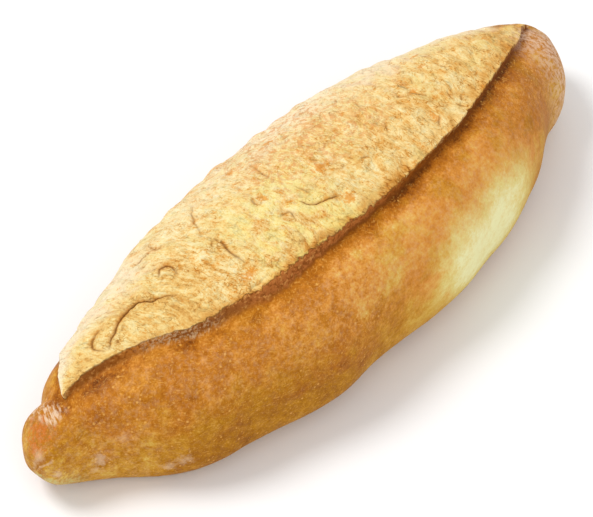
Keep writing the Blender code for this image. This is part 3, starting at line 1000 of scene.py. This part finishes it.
def end_marks(n, at, shade):
    """The knob's red spot, pits, olive foot and brown dash, and the torn flap at the right end."""
    grain = n.noise(at.place, 1.6 * MM, 3.0, 0.7)
    speckled = n.shifted(grain, n.noise(at.place, 4 * MM, 2.0), 0.7)
    red = n.ragged(n.blob((at.station, -0.958, 0.050), (at.angle, 80.0, 46.0)), speckled, 2.4, 0.25, 0.80)
    shade = n.mix(n.product(red, 0.80), shade, SPOT_RED)
    pits = n.product(n.between(grain, 0.50, 0.40), n.between(at.station, -0.90, -0.94), 0.55)
    shade = n.mix(pits, shade, TORN_BROWN)
    olive = n.zone(at, station=(-0.88, -0.94), angle=(188.0, 204.0))
    shade = n.mix(n.product(olive, n.between(grain, 0.40, 0.62, 0.15, 0.85)), shade, OLIVE_CREAM)
    dash = n.ragged(n.blob((at.station, -0.990, 0.012), (at.angle, 132.0, 14.0)), grain, 1.0, 0.35, 0.65)
    shade = n.mix(n.product(dash, 0.8), shade, TORN_BROWN)

    flap = n.zone(at, station=(0.78, 0.83, 0.91, 0.95), angle=(52.0, 58.0, 72.0, 80.0))
    torn = n.mix(n.between(grain, 0.42, 0.58), TORN_BROWN, TORN_ORANGE)
    return n.mix(n.product(flap, 0.85), shade, torn)


def floured(n, at, shade):
    """Flour: white on the neck, the knob and the crust, duller on the lip, and pinkish at the right tip."""
    dust = n.noise(at.place, 2.2 * MM, 4.0, 0.75)
    drawn = n.streaks(at.place, 60, 5 * MM, 1.2 * MM, 4.0)
    neck = n.product(n.zone(at, station=(-0.945, -0.930, -0.905, -0.885), angle=(30.0, 45.0, 88.0, 104.0)),
                     n.between(drawn, 0.43, 0.60, 0.0, 0.80))
    knob = n.ragged(n.blob((at.station, -0.990, 0.020), (at.angle, 108.0, 34.0)), dust, 1.5, 0.1, 0.9)
    spots = 0.0
    for station, angle, amount in FLOUR_SPOTS:
        spot = n.blob((at.station, station, FLOUR_REACH[0]), (at.angle, angle, FLOUR_REACH[1]))
        spots = n.math("MAXIMUM", n.product(n.ragged(spot, dust, 2.2, 0.20, 1.10), amount), spots)
    dusty = n.math("MAXIMUM", n.between(at.height, 0.034, 0.050, 0.3, 1.0),
                   n.between(at.station, -0.70, -0.80))
    haze = n.product(n.between(dust, 0.42, 0.70, 0.0, 0.16), dusty, n.between(at.inward, -3.0, -10.0))
    at_end = n.math("ADD", neck, n.product(knob, 0.45), clamp=True)
    white = n.math("MAXIMUM", n.math("ADD", at_end, spots, clamp=True), haze)

    scraped = n.streaks(at.place, 30, 4 * MM, 1.0 * MM)
    on_lip = n.product(n.zone(at, station=(-0.72, -0.64, -0.56, -0.48), inward=(-2.5, 0.5, 2.6, 3.6)),
                       n.between(scraped, 0.44, 0.60, 0.0, 0.65))
    pink = n.product(n.between(at.station, 0.72, 0.88, 0.0, 0.85), n.between(dust, 0.40, 0.60),
                     n.between(at.angle, 80.0, 95.0))
    shade = n.mix(white, shade, FLOUR)
    shade = n.mix(on_lip, shade, LIP_FLOUR)
    return n.mix(pink, shade, PINK_FLOUR)


def torn_layers(n, at):
    """The torn layers, too thin for the mesh: for each kind the painted shadow at its feet, and its rise."""
    bent = n.warped(at.sheet, 10 * MM, 6 * MM)
    for turn, length, width, count, patch_turn, patch_size, dark, high in TORN_LAYERS:
        rise, feet = n.layers(n.noise(n.turned(bent, turn, length, width), 1.0, 3.0, 0.55), count)
        patches = n.noise(n.turned(at.sheet, patch_turn, patch_size, patch_size), 1.0, 2.0)
        shown = n.between(patches, 0.48, 0.60)
        # their feet are darkened as painted shadow under each layer's edge
        yield n.product(feet, shown, dark), n.product(rise, shown, high)


def bread_material():
    material = bpy.data.materials.new("baked_bread")
    material.use_nodes = True
    shader = material.node_tree.nodes["Principled BSDF"]
    n = Nodes(material.node_tree)
    place = n.add("ShaderNodeTexCoord").outputs["Object"]
    at = SimpleNamespace(
        place=place,
        height=n.add("ShaderNodeSeparateXYZ", {"Vector": place}).outputs["Z"],
        sheet=n.attribute("sheet", "Vector"),
        inward=n.attribute("inward_mm"),
        lip=n.attribute("lip_mm"),
        share=n.attribute("share"),
        station=n.attribute("station"),
        angle=n.attribute("angle"),
    )
    from_crack = n.attribute("from_crack_mm")
    strength = n.attribute("crack")
    crack = n.bell(from_crack, 0.34, strength)
    layers = list(torn_layers(n, at))

    # the bloom with its cracks, whose dark lines are partly painted shade, and the painted shadow at the feet
    # of torn layers
    lines = n.product(n.bell(from_crack, 1.1, strength), 0.16)
    for feet, _ in layers:
        lines = n.math("ADD", lines, feet)
    bloom = bloom_colour(n, at, lines)
    bloom = n.mix(n.product(n.bell(from_crack, 0.9, strength), 0.7), bloom, CRACK_ORANGE)
    # the dark core of the cracks, partly painted shade in them
    bloom = n.mix(n.product(crack, 0.95), bloom, CRACK_BROWN_AND_SHADE)

    # the crust, the slope with a dark foot painted as shade in the crease, and the bloom's torn edge
    torn = n.noise(at.place, 2.2 * MM, 3.0, 0.65)
    ragged = n.shifted(at.inward, torn, 2.6)
    soft = n.between(at.station, -0.20, -0.50, 0.0, 1.6)
    on_slope = n.between(ragged, n.math("SUBTRACT", -1.0, soft), n.math("ADD", 0.5, soft))
    shade = n.mix(on_slope, crust_colour(n, at), slope_colour(n, at))
    # painted shade: a dark line in the crease at the foot of the slope
    foot = n.product(n.between(ragged, -1.6, -0.4), n.between(ragged, 0.9, -0.1),
                     n.zone(at, station=(-0.55, -0.2), share=(0.55, 0.40)))
    shade = n.mix(n.product(foot, 0.7), shade, FOOT_BROWN_AND_CREASE_SHADE)
    torn_by = n.product(n.between(at.station, -0.55, -0.35, 1.2, 4.2),
                        n.between(at.station, 0.0, 0.25, 1.0, 0.6))
    crisp = n.shifted(at.inward, torn, torn_by)
    in_bloom = n.between(n.math("SUBTRACT", crisp, at.lip), -0.55, 0.15)
    shade = n.mix(in_bloom, shade, bloom)
    shade = floured(n, at, end_marks(n, at, shade))

    n.set(shader.inputs["Base Color"], shade)
    n.set(shader.inputs["Roughness"], n.between(in_bloom, 0.0, 1.0, CRUST_ROUGHNESS, BLOOM_ROUGHNESS))
    shader.inputs["Specular IOR Level"].default_value = SHEEN

    # fine relief
    pores = n.noise(at.place, 1.0 * MM, 3.0, 0.65)
    dimples = n.noise(at.place, 3.5 * MM, 3.0, 0.6)
    smooth = n.math("ADD", n.product(pores, 0.07), n.product(dimples, 0.40))
    bent = n.warped(at.sheet, 12 * MM, 7 * MM)
    wrinkles = n.noise(n.turned(bent, STRETCH_TURN, 6 * MM, 2.0 * MM), 1.0, 4.0, 0.65)
    rough = n.math("ADD", n.product(pores, n.between(at.station, -0.10, 0.30, 0.40, 0.25)),
                   n.product(wrinkles, n.between(at.station, -0.10, 0.30, 1.2, 0.8)))
    for _, rise in layers:
        rough = n.math("ADD", rough, rise)
    rough = n.plus(rough, crack, -0.5)
    relief = n.mix(in_bloom, smooth, rough)
    bump = n.add("ShaderNodeBump", {"Height": relief, "Distance": BUMP_DEPTH, "Strength": 1.0})
    n.set(shader.inputs["Normal"], bump.outputs["Normal"])
    return material


# ---------------------------------------------------------------- studio


def floor():
    mesh = bpy.data.meshes.new("floor")
    corners = [(FLOOR_REACH * x, FLOOR_REACH * y, 0) for x, y in ((-1, -1), (1, -1), (1, 1), (-1, 1))]
    mesh.from_pydata(corners, [], [(0, 1, 2, 3)])
    plane = placed("floor", mesh)
    plane.location.z = LOW.z - FLOOR_GAP
    material = bpy.data.materials.new("pale_floor")
    material.use_nodes = True
    shader = material.node_tree.nodes["Principled BSDF"]
    shader.inputs["Base Color"].default_value = (0.92, 0.92, 0.92, 1)
    shader.inputs["Roughness"].default_value = 0.9
    shader.inputs["Specular IOR Level"].default_value = 0.1
    mesh.materials.append(material)


def camera_axes():
    """The camera's right, up and back."""
    azimuth, elevation = math.radians(CAMERA_AZIMUTH), math.radians(CAMERA_ELEVATION)
    back = Vector((math.sin(azimuth) * math.cos(elevation), -math.cos(azimuth) * math.cos(elevation),
                   math.sin(elevation)))
    right = Vector((math.cos(azimuth), math.sin(azimuth), 0))
    return right, back.cross(right), back


def camera():
    right, up, back = camera_axes()
    lens = bpy.data.cameras.new("camera")
    lens.lens = CAMERA_LENS
    lens.clip_start = 0.01
    holder = placed("camera", lens)
    pose = Matrix((right, up, back)).transposed().to_4x4()
    pose.translation = CAMERA_TARGET + CAMERA_DISTANCE * back
    holder.matrix_world = pose
    bpy.context.scene.camera = holder


def area_light(name, direction, distance, size, power):
    lamp = bpy.data.lights.new(name, "AREA")
    lamp.shape = "DISK"
    lamp.size = size
    lamp.energy = power
    holder = placed(name, lamp)
    direction = direction.normalized()
    holder.location = CAMERA_TARGET + distance * direction
    holder.rotation_euler = direction.to_track_quat("Z", "Y").to_euler()


def lights():
    right, up, back = camera_axes()
    world = bpy.data.worlds.new("studio")
    bpy.context.scene.world = world
    world.use_nodes = True
    background = world.node_tree.nodes["Background"]
    background.inputs["Color"].default_value = (1.0, 1.0, 1.0, 1)
    background.inputs["Strength"].default_value = WORLD_STRENGTH
    for name, (to_right, to_up, to_back), distance, size, power in LAMPS:
        area_light(name, to_right * right + to_up * up + to_back * back, distance, size, power)


def main():
    loaf = loaf_object()
    loaf.data.materials.append(bread_material())
    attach(loaf, "root")
    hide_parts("loaf")
    floor()
    camera()
    lights()
    bpy.context.scene.view_settings.view_transform = "Standard"


main()
